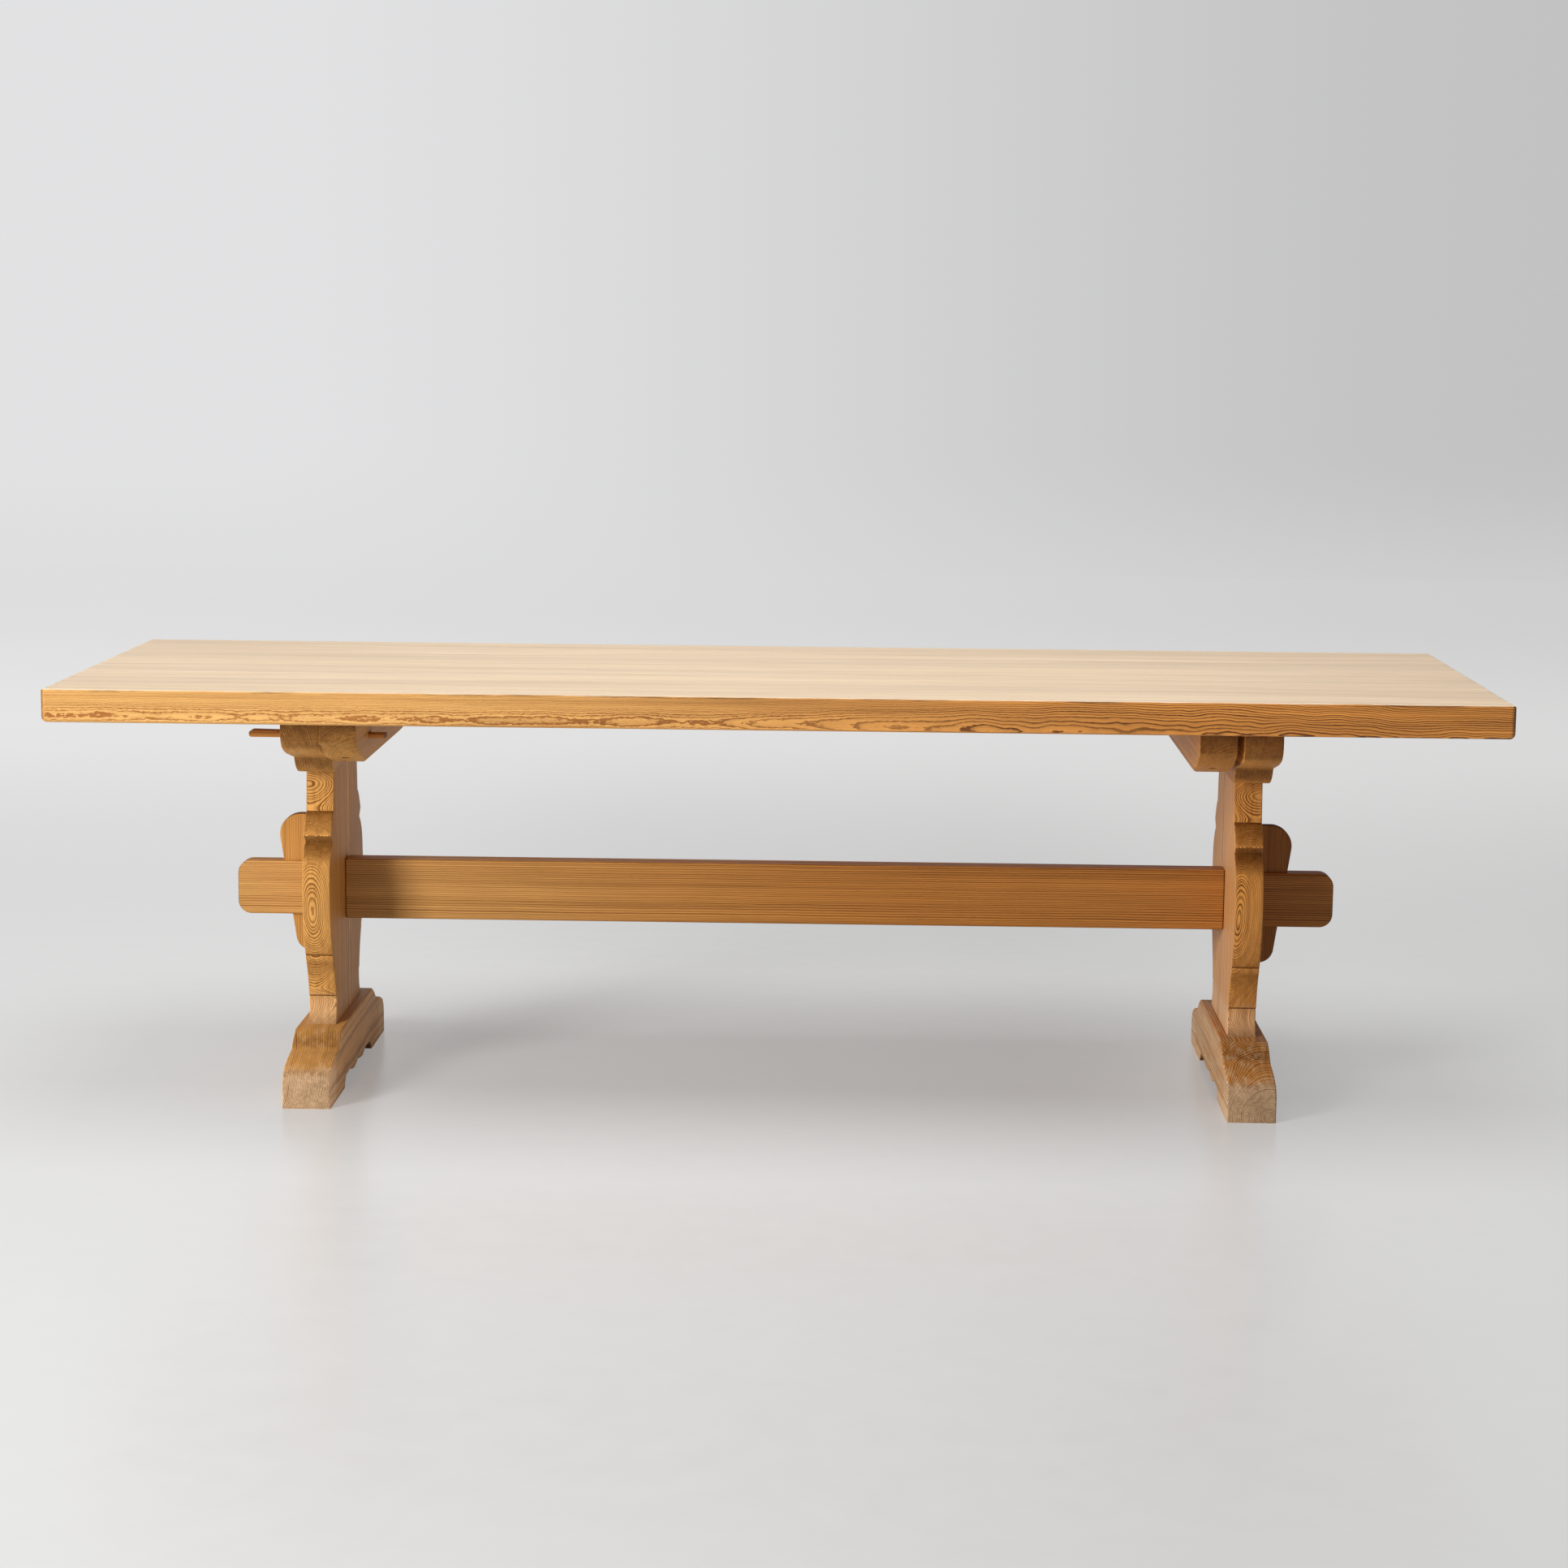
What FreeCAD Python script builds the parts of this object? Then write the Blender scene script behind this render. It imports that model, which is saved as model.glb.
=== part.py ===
import FreeCAD, Part
import math
import os

# A knock-down trestle table in solid pine, in millimetres, +Z up and +X along the top.
# The origin is on the floor under the middle of the top.
# The two trestles are alike: the left one is the right one turned end for end.

# Top, glued up from boards that run along X
top_length = 2400.0
top_width = 800.0
top_height = 720.0
top_thickness = 55.0
top_corner_radius = 9.0
top_edge_radius = 3.5
top_end_upper_radius = 7.0
top_end_lower_radius = 12.0
top_board_width_shares = (0.125, 0.1125, 0.1125, 0.1375, 0.1375, 0.125, 0.125, 0.125)

# Stand of the trestles, the play of the top between their heads, and how far the base stands
# towards the front and the right of the top's middle
trestle_spacing = 1592.0
top_play = 11.2
rubbing_gap = 0.3
base_forward = 12.0
base_right = 2.5

# Foot, with a low sawn arch under it
foot_length = 602.0
foot_width = 82.0
foot_height = 109.0
foot_arch_length = 294.0
foot_arch_rise = 22.0

# Head, the bearer under the top
head_length = 638.0
head_width = 64.0
head_height = 110.0

# Upright, three boards glued edge to edge, the middle one tenoned into foot and head
upright_width = 362.0
upright_thickness = 48.0
upright_middle_board_width = 120.0
stub_tenon_width = 100.0
stub_tenon_thickness = 20.0
stub_tenon_length = 45.0

# Stretcher, with a long through tenon at each end
stretcher_height = 106.0
stretcher_thickness = 45.0
stretcher_middle_height = 328.0
stretcher_arris = 3.5
tenon_height = 95.0
tenon_thickness = 36.0
tenon_reach = 142.0
tenon_corner_radius = 23.0
tenon_arris = 3.0

# Key, the wedge that draws the stretcher's shoulders against the upright
key_top_width = 74.0
key_bottom_width = 38.0
key_thickness = 20.0
key_above_middle = 131.0
key_below_middle = 113.0
key_top_radius = 37.0
key_bottom_radius = 26.0
key_arris = 2.0
key_draw_gap = 4.0

# Cleat, screwed to the underside of the top just inside the head
cleat_length = 638.0
cleat_width = 62.0
cleat_height = 87.0
cleat_lower_chamfer = 7.0

# Peg, a flat wedge through head and cleat
peg_width = 30.0
peg_outer_thickness = 11.0
peg_inner_thickness = 7.0
peg_outer_reach = 77.0
peg_inner_reach = 28.0
peg_below_top = 47.0
peg_from_middle = 175.0
peg_end_radius = 4.6
peg_arris = 1.0

# Cleat screws
screw_shank_radius = 2.5
screw_head_radius = 5.0
screw_head_height = 3.5
screw_length = 72.0
screw_bite = 32.0
screw_counterbore_radius = 7.0
screw_place_shares = (-0.746, -0.164, 0.164, 0.746)

# Fits
joint_clearance = 0.25
screw_clearance = 0.05
overrun = 20.0
hair = 0.01

# Outlines, one half each: a share of the half length, a share of the height, and how far the
# stretch that ends at the point swells outwards, as a share of its chord. A smooth stretch runs
# on from the one before it without a corner.
smooth = None
foot_arch_shares = (
    (0.00, 1.00, 0.00),
    (0.16, 0.60, 0.14),
    (0.42, 0.57, 0.08),
    (0.76, 0.75, -0.06),
    (1.00, 0.00, -0.20),
)
foot_end_shares = (
    (1.00, 0.00, 0.00),
    (1.00, 0.34, 0.00),
    (0.93, 0.61, smooth),
    (0.71, 0.745, smooth),
    (0.68, 0.790, 0.00),
    (0.55, 1.00, 0.05),
)
head_end_shares = (
    (0.49, 0.00, 0.00),
    (0.60, 0.22, 0.10),
    (0.67, 0.31, smooth),
    (0.81, 0.40, 0.00),
    (0.94, 0.52, smooth),
    (1.00, 0.77, smooth),
    (1.00, 1.00, smooth),
)
cleat_end_shares = (
    (0.59, 0.00, 0.00),
    (0.80, 0.20, 0.00),
    (1.00, 0.57, 0.04),
    (1.00, 1.00, 0.00),
)
upright_side_shares = (
    (0.735, 0.000, 0.00),
    (0.668, 0.105, -0.10),
    (0.694, 0.112, 0.00),
    (0.835, 0.262, -0.05),
    (0.845, 0.279, 0.00),
    (0.866, 0.286, 0.00),
    (0.975, 0.620, 0.075),
    (0.800, 0.722, smooth),
    (0.880, 0.752, 0.00),
    (0.745, 0.832, 0.04),
    (0.705, 0.838, 0.00),
    (0.672, 1.000, 0.00),
)

# Heights and places that follow from the sizes above
top_underside = top_height - top_thickness
head_base = top_underside - head_height
cleat_base = top_underside - cleat_height
upright_height = head_base - foot_height
trestle_offset = top_play / 2
peg_base = top_underside - peg_below_top
upright_face = upright_thickness / 2
head_face = head_width / 2
cleat_face = trestle_spacing / 2 - trestle_offset - head_face - rubbing_gap
foot_arch_half = foot_arch_length / 2


def half_points(shares, half_length, height, base):
    """Points of one half of an outline, from its table of shares, each with its swell."""
    points = []
    heading = 0
    for across_share, up_share, bow_share in shares:
        across = across_share * half_length
        up = base + up_share * height
        if points:
            chord_heading = math.atan2(up - points[-1][1], across - points[-1][0])
            if bow_share is smooth:
                bow_share = math.tan((chord_heading - heading) / 2) / 2
            heading = chord_heading + 2 * math.atan(2 * bow_share)
        points.append((across, up, bow_share))
    return points


def bowed_edge(start, end, bow_share):
    """A line from start to end in a YZ plane, or an arc that swells to its right."""
    if bow_share == 0:
        return Part.LineSegment(start, end).toShape()
    chord = end - start
    swell = FreeCAD.Vector(0, chord.z, -chord.y) * bow_share
    return Part.Arc(start, (start + end) / 2 + swell, end).toShape()


def mirrored_board(points, thickness):
    """A board standing about x = 0, its outline the same on both sides of y = 0."""
    back = -thickness / 2
    edges = []
    for side in (1, -1):
        corners = [FreeCAD.Vector(back, side * across, up) for across, up, bow in points]
        for start, end, point in zip(corners, corners[1:], points[1:]):
            edges.append(bowed_edge(start, end, side * point[2]))
    for across, up, bow in (points[0], points[-1]):
        if across > hair:
            ends = [FreeCAD.Vector(back, side * across, up) for side in (1, -1)]
            edges.append(Part.LineSegment(ends[0], ends[1]).toShape())
    outline = Part.Wire(Part.__sortEdges__(edges))
    return Part.Face(outline).extrude(FreeCAD.Vector(thickness, 0, 0))


def rounded(shape, radius, chosen):
    """The shape with the edges that the test picks out rounded."""
    return shape.makeFillet(radius, [edge for edge in shape.Edges if chosen(edge.BoundBox)])


def block(x_span, y_span, z_span):
    """A box between two values along each axis."""
    low = FreeCAD.Vector(x_span[0], y_span[0], z_span[0])
    sizes = [span[1] - span[0] for span in (x_span, y_span, z_span)]
    return Part.makeBox(sizes[0], sizes[1], sizes[2], low)


def about(middle, size):
    """The span of a size about its middle."""
    return (middle - size / 2, middle + size / 2)


def side_prism(corners, thickness):
    """A prism about y = 0 from its corners in the XZ plane."""
    front = [FreeCAD.Vector(x, -thickness / 2, z) for x, z in corners]
    outline = Part.makePolygon(front + front[:1])
    return Part.Face(outline).extrude(FreeCAD.Vector(0, thickness, 0))


def stub_tenon(clearance):
    """The upright's stub tenons into foot and head, as one bar, grown by a clearance."""
    grown = 2 * clearance
    low = foot_height - stub_tenon_length - clearance
    high = head_base + stub_tenon_length + clearance
    return block(about(0, stub_tenon_thickness + grown), about(0, stub_tenon_width + grown), (low, high))


def stretcher_tenon(clearance):
    """The stretcher's bar of through tenon, from one end to the other, grown by a clearance."""
    grown = 2 * clearance
    length = trestle_spacing + upright_thickness + 2 * tenon_reach
    bar = block(about(0, length), about(0, tenon_thickness + grown),
                about(stretcher_middle_height, tenon_height + grown))
    bar = rounded(bar, tenon_corner_radius, lambda box: box.XLength < hair and box.ZLength < hair)
    faces = (bar.BoundBox.YMin, bar.BoundBox.YMax)
    return rounded(bar, tenon_arris,
                   lambda box: box.YLength < hair and min(abs(box.YMin - face) for face in faces) < hair)


def peg_thickness(x):
    """The peg's thickness at a distance outwards from the trestle's middle plane."""
    inner_end = -head_face - rubbing_gap - cleat_width - peg_inner_reach
    outer_end = head_face + peg_outer_reach
    run_share = (x - inner_end) / (outer_end - inner_end)
    return peg_inner_thickness + run_share * (peg_outer_thickness - peg_inner_thickness)


def peg_slot():
    """The slot through head and cleat that the peg drives into."""
    high = peg_base + peg_thickness(head_face) + joint_clearance
    reach = head_width + cleat_width + top_play + overrun
    return block((-reach, reach), about(peg_from_middle, peg_width + 2 * joint_clearance), (peg_base, high))


def make_foot():
    """The foot, with the mortise for the upright."""
    arch = half_points(foot_arch_shares, foot_arch_half, foot_arch_rise, 0)
    end = half_points(foot_end_shares, foot_length / 2, foot_height, 0)
    foot = mirrored_board(arch + end, foot_width)
    return foot.cut(stub_tenon(joint_clearance))


def make_head():
    """The head, with the mortise for the upright and the slot for the peg."""
    head = mirrored_board(half_points(head_end_shares, head_length / 2, head_height, head_base), head_width)
    return head.cut(stub_tenon(joint_clearance)).cut(peg_slot())


def make_upright():
    """The upright's front, middle and back boards, in that order along Y."""
    side = half_points(upright_side_shares, upright_width / 2, upright_height, foot_height)
    whole = mirrored_board(side, upright_thickness)
    seam = upright_middle_board_width / 2
    past = upright_width / 2 + overrun
    boards = []
    for y_span in ((-past, -seam), (-seam, seam), (seam, past)):
        boards.append(whole.common(block(about(0, 2 * upright_thickness), y_span, (0, top_height))))
    through = stretcher_tenon(joint_clearance)
    boards[1] = boards[1].fuse(stub_tenon(0)).removeSplitter().cut(through)
    return boards


def make_stretcher():
    """The stretcher in place along X, with a mortise for the key through each tenon."""
    body_length = trestle_spacing - upright_thickness
    body = block(about(0, body_length), about(0, stretcher_thickness),
                 about(stretcher_middle_height, stretcher_height))
    body = body.makeFillet(stretcher_arris, body.Edges)
    stretcher = body.fuse(stretcher_tenon(0)).removeSplitter()
    for side in (1, -1):
        stretcher = stretcher.cut(stood(key_mortise(), side, trestle_spacing / 2))
    return stretcher


def key_width(z):
    """The key's width at a height, from the upright's outer face."""
    low = stretcher_middle_height - key_below_middle
    taper_share = (z - low) / (key_above_middle + key_below_middle)
    return key_bottom_width + taper_share * (key_top_width - key_bottom_width)


def key_mortise():
    """The mortise through the tenon, sloped on its outer side like the key."""
    low = stretcher_middle_height - tenon_height / 2 - overrun
    high = stretcher_middle_height + tenon_height / 2 + overrun
    inner = upright_face - key_draw_gap
    outer = upright_face + joint_clearance
    corners = [(inner, low), (outer + key_width(low), low), (outer + key_width(high), high), (inner, high)]
    return side_prism(corners, key_thickness + 2 * joint_clearance)


def make_key():
    """The key, flat against the upright and tapered on its outer side, with rounded outer corners."""
    low = stretcher_middle_height - key_below_middle
    high = stretcher_middle_height + key_above_middle
    inner = upright_face
    key = side_prism([(inner, low), (inner + key_bottom_width, low), (inner + key_top_width, high),
                      (inner, high)], key_thickness)
    for level, radius in ((high, key_top_radius), (low, key_bottom_radius)):
        key = rounded(key, radius, lambda box: box.XLength < hair and box.YLength > hair
                      and box.XMin > inner + hair and abs(box.ZMin - level) < hair)
    return rounded(key, key_arris, lambda box: box.YLength < hair and box.XMax > inner + hair)


def make_peg():
    """The peg, flat below, thicker towards its rounded outer end."""
    inner_end = -head_face - rubbing_gap - cleat_width - peg_inner_reach
    outer_end = head_face + peg_outer_reach
    peg = side_prism([(inner_end, peg_base), (outer_end, peg_base),
                      (outer_end, peg_base + peg_outer_thickness),
                      (inner_end, peg_base + peg_inner_thickness)], peg_width)
    peg = rounded(peg, peg_end_radius, lambda box: box.XLength < hair and box.ZLength < hair
                  and box.XMin > outer_end - hair)
    peg = rounded(peg, peg_arris, lambda box: box.YLength < hair)
    return peg.translated(FreeCAD.Vector(0, peg_from_middle, 0))


def screw_places():
    """The screws' places along the cleat."""
    return [share * cleat_length / 2 for share in screw_place_shares]


def screw_solid(grown):
    """One countersunk screw standing on its point, grown by a clearance."""
    tip = top_underside + screw_bite + grown
    base = top_underside + screw_bite - screw_length
    shank = Part.makeCylinder(screw_shank_radius + grown, tip - base, FreeCAD.Vector(0, 0, base))
    cone = Part.makeCone(screw_head_radius + grown, screw_shank_radius + grown, screw_head_height,
                         FreeCAD.Vector(0, 0, base))
    return shank.fuse(cone).removeSplitter()


def screw_row(grown):
    """The row of screws through one cleat, each a separate solid, along the cleat's middle."""
    screw = screw_solid(grown)
    middle = -head_face - rubbing_gap - cleat_width / 2
    return [screw.translated(FreeCAD.Vector(middle, y, 0)) for y in screw_places()]


def make_cleat():
    """The cleat, chamfered along its inner lower edge, with its peg slot and screw holes."""
    cleat = mirrored_board(half_points(cleat_end_shares, cleat_length / 2, cleat_height, cleat_base), cleat_width)
    inner = cleat.BoundBox.XMin
    lower = [edge for edge in cleat.Edges if abs(edge.BoundBox.XMax - inner) < hair
             and edge.BoundBox.ZMax < cleat_base + hair]
    cleat = cleat.makeChamfer(cleat_lower_chamfer, lower)
    middle = -head_face - rubbing_gap - cleat_width / 2
    cleat = cleat.translated(FreeCAD.Vector(middle, 0, 0)).cut(peg_slot())
    bore_top = top_underside + screw_bite - screw_length
    for y, hole in zip(screw_places(), screw_row(screw_clearance)):
        counterbore = Part.makeCylinder(screw_counterbore_radius, bore_top - cleat_base + overrun,
                                        FreeCAD.Vector(middle, y, cleat_base - overrun))
        cleat = cleat.cut(hole).cut(counterbore)
    return cleat


def make_top_boards(screw_holes):
    """The top's boards, cut from one slab with rounded corners, ends and edges, drilled for the screws."""
    blank = block(about(0, top_length), about(0, top_width), (top_underside, top_height))
    cornered = rounded(blank, top_corner_radius, lambda box: box.XLength < hair and box.YLength < hair)
    edged = rounded(blank, top_edge_radius, lambda box: box.YLength < hair and box.ZLength < hair)
    ended = rounded(blank, top_end_upper_radius, lambda box: box.XLength < hair and box.ZMin > top_height - hair)
    ended = rounded(ended, top_end_lower_radius,
                    lambda box: box.XLength < hair and box.ZMax < top_underside + hair)
    slab = cornered.common(edged).common(ended)
    slab = slab.cut(Part.makeCompound(screw_holes))
    boards = []
    front = -top_width / 2
    for width_share in top_board_width_shares:
        back = front + width_share * top_width
        boards.append(slab.common(block(about(0, top_length + overrun), (front, back), (0, top_height))))
        front = back
    return boards


def stood(shape, side, distance):
    """A shape made about a trestle's middle plane, stood out along X: side 1 right, -1 left."""
    turned = shape.copy()
    if side < 0:
        turned.rotate(FreeCAD.Vector(0, 0, 0), FreeCAD.Vector(0, 0, 1), 180)
    return turned.translated(FreeCAD.Vector(side * distance, 0, 0))


def under_top(shape, right):
    """A shape made about the base's middle, in its place under the top, moved right by its play."""
    return shape.translated(FreeCAD.Vector(base_right + right, -base_forward, 0))


def on_trestle(shape, side):
    """A trestle's piece in its place, both trestles pushed to the right within the top's play."""
    return under_top(stood(shape, side, trestle_spacing / 2), trestle_offset)


def on_top(shape, side):
    """A piece fixed to the top in its place, made beside the head that it bears on."""
    return under_top(stood(shape, side, cleat_face + head_face + rubbing_gap), 0)


def write(name, shape):
    """Writes one piece, or one group of like pieces, to its own file."""
    solids = shape.Solids
    piece = solids[0] if len(solids) == 1 else Part.makeCompound(solids)
    piece.exportStep("parts/" + name + ".step")


def main():
    os.makedirs("parts", exist_ok=True)
    foot = make_foot()
    head = make_head()
    upright = make_upright()
    key = make_key()
    peg = make_peg()
    cleat = make_cleat()
    screw_holes = []
    for name, side in (("left", -1), ("right", 1)):
        write(name + "_foot", on_trestle(foot, side))
        write(name + "_head", on_trestle(head, side))
        for place, board in zip(("front", "middle", "back"), upright[::side]):
            write(name + "_upright_" + place + "_board", on_trestle(board, side))
        write(name + "_key", on_trestle(key, side))
        write(name + "_peg", on_trestle(peg, side))
        write(name + "_cleat", on_top(cleat, side))
        write(name + "_cleat_screws", on_top(Part.makeCompound(screw_row(0)), side))
        screw_holes += [on_top(hole, side) for hole in screw_row(screw_clearance)]
    for number, board in enumerate(make_top_boards(screw_holes), start=1):
        write("top_board_" + str(number), board)
    write("stretcher", under_top(make_stretcher(), trestle_offset))


main()
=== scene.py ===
import math

import bmesh
import bpy
from mathutils import Matrix, Vector


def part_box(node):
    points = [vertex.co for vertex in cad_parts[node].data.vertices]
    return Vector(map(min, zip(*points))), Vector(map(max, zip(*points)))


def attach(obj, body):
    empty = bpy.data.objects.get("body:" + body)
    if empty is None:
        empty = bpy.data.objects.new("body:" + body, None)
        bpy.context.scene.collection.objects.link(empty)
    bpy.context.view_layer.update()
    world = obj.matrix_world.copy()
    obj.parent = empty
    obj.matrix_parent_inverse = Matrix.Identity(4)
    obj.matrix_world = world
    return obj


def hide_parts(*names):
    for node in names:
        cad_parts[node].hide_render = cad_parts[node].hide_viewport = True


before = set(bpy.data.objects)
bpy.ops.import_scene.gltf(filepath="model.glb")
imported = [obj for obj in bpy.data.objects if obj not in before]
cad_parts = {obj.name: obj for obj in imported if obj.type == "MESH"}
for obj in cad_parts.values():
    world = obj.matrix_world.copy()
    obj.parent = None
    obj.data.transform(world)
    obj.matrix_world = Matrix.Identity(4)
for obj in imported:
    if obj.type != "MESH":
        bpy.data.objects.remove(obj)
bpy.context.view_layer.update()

# A pine trestle table, in metres. The pieces stand where the frame has them; the sawn pieces get
# eased arrises here, and every piece gets its own stick of pine, grown round its own pith.

SIDES = ("left", "right")
UPRIGHT_BOARDS = ("front", "middle", "back")
TOP_BOARD_COUNT = 8
TOP_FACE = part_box("top_board_1")[1].z

# The photograph's camera, for a square picture
CAMERA_PLACE = (0.146, -5.4925, 1.3339)
CAMERA_YAW = -0.02531
CAMERA_PITCH = 0.14732
CAMERA_ROLL = 0.00863
CAMERA_SENSOR = 36.0
CAMERA_LENS = 72.575

# Room: its size, the grey of the floor, and the greys of the backdrop at the left and the right, lighter at the
# left as a painted fall-off of the key light; the floor's glow is stronger at the sides, a painted light over the
# trestles' shadows
FLOOR_REACH = 16.0
WALL_PLACE = 11.0
WALL_HEIGHT = 9.0
FLOOR_GREY = (0.66, 0.66, 0.655, 1)
FLOOR_LEVEL = 0.94
FLOOR_CLOUD_SCALE = 1.1
FLOOR_CLOUD_SHARE = 0.06
FLOOR_SCUFF_SCALE = 14.0
FLOOR_SCUFF_SHARE = 0.05
FLOOR_ROUGH = 0.18
FLOOR_SCUFF_ROUGH_SHARE = 0.12
FLOOR_GLOSS = 0.5
NEAR_GREYS = ((0.81, 0.81, 0.81, 1), (0.70, 0.70, 0.695, 1))
BACK_GREYS = ((0.73, 0.73, 0.73, 1), (0.62, 0.62, 0.62, 1))
WALL_GREYS = ((0.76, 0.76, 0.77, 1), (0.54, 0.54, 0.54, 1))
KEY_FALLOFF_RUN = (-3.4, 3.8)
BACK_RUN = (3.0, 9.0)
WALL_FADE = (-4.7, -3.8)
FLOOR_FADE = (0.6, 5.0)
FLOOR_SIDE_FILL_FADE = (0.4, 1.2)
FLOOR_SIDE_FILL_SHARE = 0.32
FLOOR_GLOW_SHARE = 0.22

# Lights: place, aim, width and height, watts
KEY_LIGHT = ((-3.6, -4.0, 2.0), (-0.1, 0.0, 0.45), (1.5, 2.2), 254.0)
OVERHEAD_LIGHT = ((0.0, -0.3, 4.2), (0.0, -0.1, 0.0), (2.8, 3.0), 146.0)
ROUND_LIGHT = 0.12
SEEN_LIGHT = 0.50

# Arrises
MERGE_GAP = 0.00001
FLAT_TURN = math.radians(0.4)
ARRIS_TURN = math.radians(22)
SMOOTH_TURN = math.radians(32)
ON_PLANE = 0.0002
JOINT_ROOM = 0.004
ARRIS_STEPS = 3
UPRIGHT_ARRIS = 0.0022
HEAD_ARRIS = 0.0022
FOOT_ARRIS = 0.0035
CLEAT_ARRIS = 0.0018

# Pine tones, early wood and late wood
HONEY = ((0.72, 0.405, 0.130, 1), (0.36, 0.130, 0.028, 1))
GOLD = ((0.74, 0.378, 0.102, 1), (0.20, 0.060, 0.007, 1))
AMBER = ((0.69, 0.300, 0.068, 1), (0.16, 0.042, 0.004, 1))
SMOKED = ((0.70, 0.280, 0.057, 1), (0.10, 0.026, 0.003, 1))
RED = ((0.55, 0.220, 0.046, 1), (0.125, 0.030, 0.002, 1))
# The top's scrubbed face, made paler still as a painted sheen of the light on it
SCRUBBED_AND_SHEEN = ((0.74, 0.585, 0.420, 1), (0.52, 0.362, 0.218, 1))
# The pale tones of the scuffed toes, also used to paint light on the trestles' sides
RUBBED_AND_LIT = ((0.84, 0.560, 0.325, 1), (0.36, 0.195, 0.088, 1))
TRESTLE_TONES = {"left": GOLD, "right": AMBER}
ZINC = ((0.42, 0.41, 0.38, 1), (0.66, 0.65, 0.61, 1))
ZINC_ROUGH = 0.28
ZINC_MARK_ROUGH_SHARE = 0.2

# How light each of the top's boards is, from the front
TOP_SHARES = (1.0, 0.95, 1.02, 0.97, 1.03, 0.94, 1.0, 0.97)

# How the late wood grows in over one year, in common and in slow-grown pine
LATE_STOPS = ((0.0, 0.30), (0.06, 0.0), (0.32, 0.06), (0.52, 0.38), (0.68, 1.0), (0.94, 1.0), (1.0, 0.30))
THIN_STOPS = ((0.0, 0.35), (0.05, 0.06), (0.35, 0.14), (0.62, 0.34), (0.76, 1.0), (0.94, 1.0), (1.0, 0.35))

# Years: how fast their widths change from ring to ring, and how strong the faintest is
YEAR_CHANGE = 0.23
FAINTEST_YEAR = 0.55

# Marks: changes per metre along and across the grain, seed, detail and roughness
BEND = ((2.6, 5.0), 0.0, 1.0, 0.5)
RAGGED = ((110.0, 330.0), 7.7, 2.0, 0.5)
FIBRE = ((9.0, 520.0), 5.3, 3.0, 0.6)
CANAL = ((45.0, 1500.0), 9.1, 1.0, 0.5)
LINE = ((1.2, 150.0), 6.6, 2.0, 0.6)
SPECK = ((700.0, 900.0), 4.4, 1.0, 0.5)
TOE_EDGE = ((30.0, 40.0), 4.0, 4.0, 0.65)
FOOT_PATCH = ((14.0, 120.0), 6.0, 4.0, 0.65)
SCUFF_EDGE = ((40.0, 90.0), 2.0, 3.0, 0.6)
SCRUB_AND_SHEEN_EDGE = ((9.0, 60.0), 8.0, 3.0, 0.6)
GRIME_EDGE = ((60.0, 200.0), 15.0, 3.0, 0.6)
GRIME_RUN = ((3.5, 60.0), 12.0, 4.0, 0.7)
TURNING = ((300.0, 900.0), 1.0, 2.0, 0.5)

# The seed, detail and roughness of the waves and of the stain's clouds, whose changes are each piece's own
SWAY = (3.1, 2.0, 0.5)
CLOUD = (2.2, 3.0, 0.6)

# Between which levels of their noise the resin canals open
CANAL_OPENS = (0.66, 0.78)

# How far each mark turns early wood into late wood, and how far it lightens or darkens the wood
SAWN_TONE_SHARE = 0.50
CLOUD_TONE_SHARE = 1.6
LINE_TONE_SHARE = 0.45
WORN_AND_LIT_SAWN_TONE_SHARE = 0.35
LINE_LEVEL_SHARE = 0.20
FIBRE_LEVEL_SHARE = 0.50
CANAL_LEVEL_SHARE = 0.22
SAWN_LEVEL_SHARE = 0.34
SPECK_LEVEL_SHARE = 0.40
WORN_AND_LIT_LEVEL_SHARE = 0.12
ARRIS_LEVEL_SHARE = 0.30
ARRIS_MIDDLE_SHARE = 0.35
NICK_LEVEL_SHARE = 0.50

# How far each mark roughens the lacquer, and how far it stands out in the relief
CLOUD_ROUGH_SHARE = 0.10
LATE_ROUGH_SHARE = 0.05
SAWN_ROUGH_SHARE = 0.10
ARRIS_ROUGH_SHARE = 0.05
WORN_AND_LIT_ROUGH_SHARE = 0.10
LATE_RELIEF_SHARE = 0.5
FIBRE_RELIEF_SHARE = 0.6
CANAL_RELIEF_SHARE = 0.5
SPECK_RELIEF_SHARE = 0.5

# How far a face looks along an axis before it counts as sawn across the grain, or as a broad face
SAWN_FACING = (0.25, 0.85)
BROAD_FACING = (0.6, 0.9)

# The relief of the wood's surface
RELIEF_STRENGTH = 0.35
RELIEF_DEPTH = 0.0005

# Wear of the feet: how high and how far out the toes are scuffed, how ragged and how far stripped of lacquer they
# are, and the painted fill light on their sides
TOE_HEIGHT = (0.050, 0.072)
TOE_OUT = (0.225, 0.262)
TOE_RAGGED = 0.030
TOE_BARE_SHARE = 0.90
FOOT_SIDE_LIGHT_SHARE = 0.50
FOOT_PATCH_OPENS = (0.42, 0.70)
FOOT_MIDDLE = (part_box("left_foot")[0].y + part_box("left_foot")[1].y) / 2

# Wear of the uprights: how high they are scuffed, how ragged and how far the lacquer is gone
SCUFF_HEIGHT = (0.135, 0.175)
SCUFF_RAGGED = 0.04
SCUFF_SHARE = 0.5

# Wear and painted sheen of the top: which faces are scrubbed pale and lightened as a painted sheen, and how deep
# under its face the grime of its arris lies
SCRUB_AND_SHEEN_FACING = (0.45, 0.85)
SCRUB_AND_SHEEN_RAGGED_SHARE = 0.9
GRIME_HEIGHT = (TOP_FACE - 0.0050, TOP_FACE - 0.0030)
GRIME_RAGGED = 0.0035
GRIME_FACING = (0.60, 0.85)
GRIME_OPENS = (0.47, 0.58)

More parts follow.
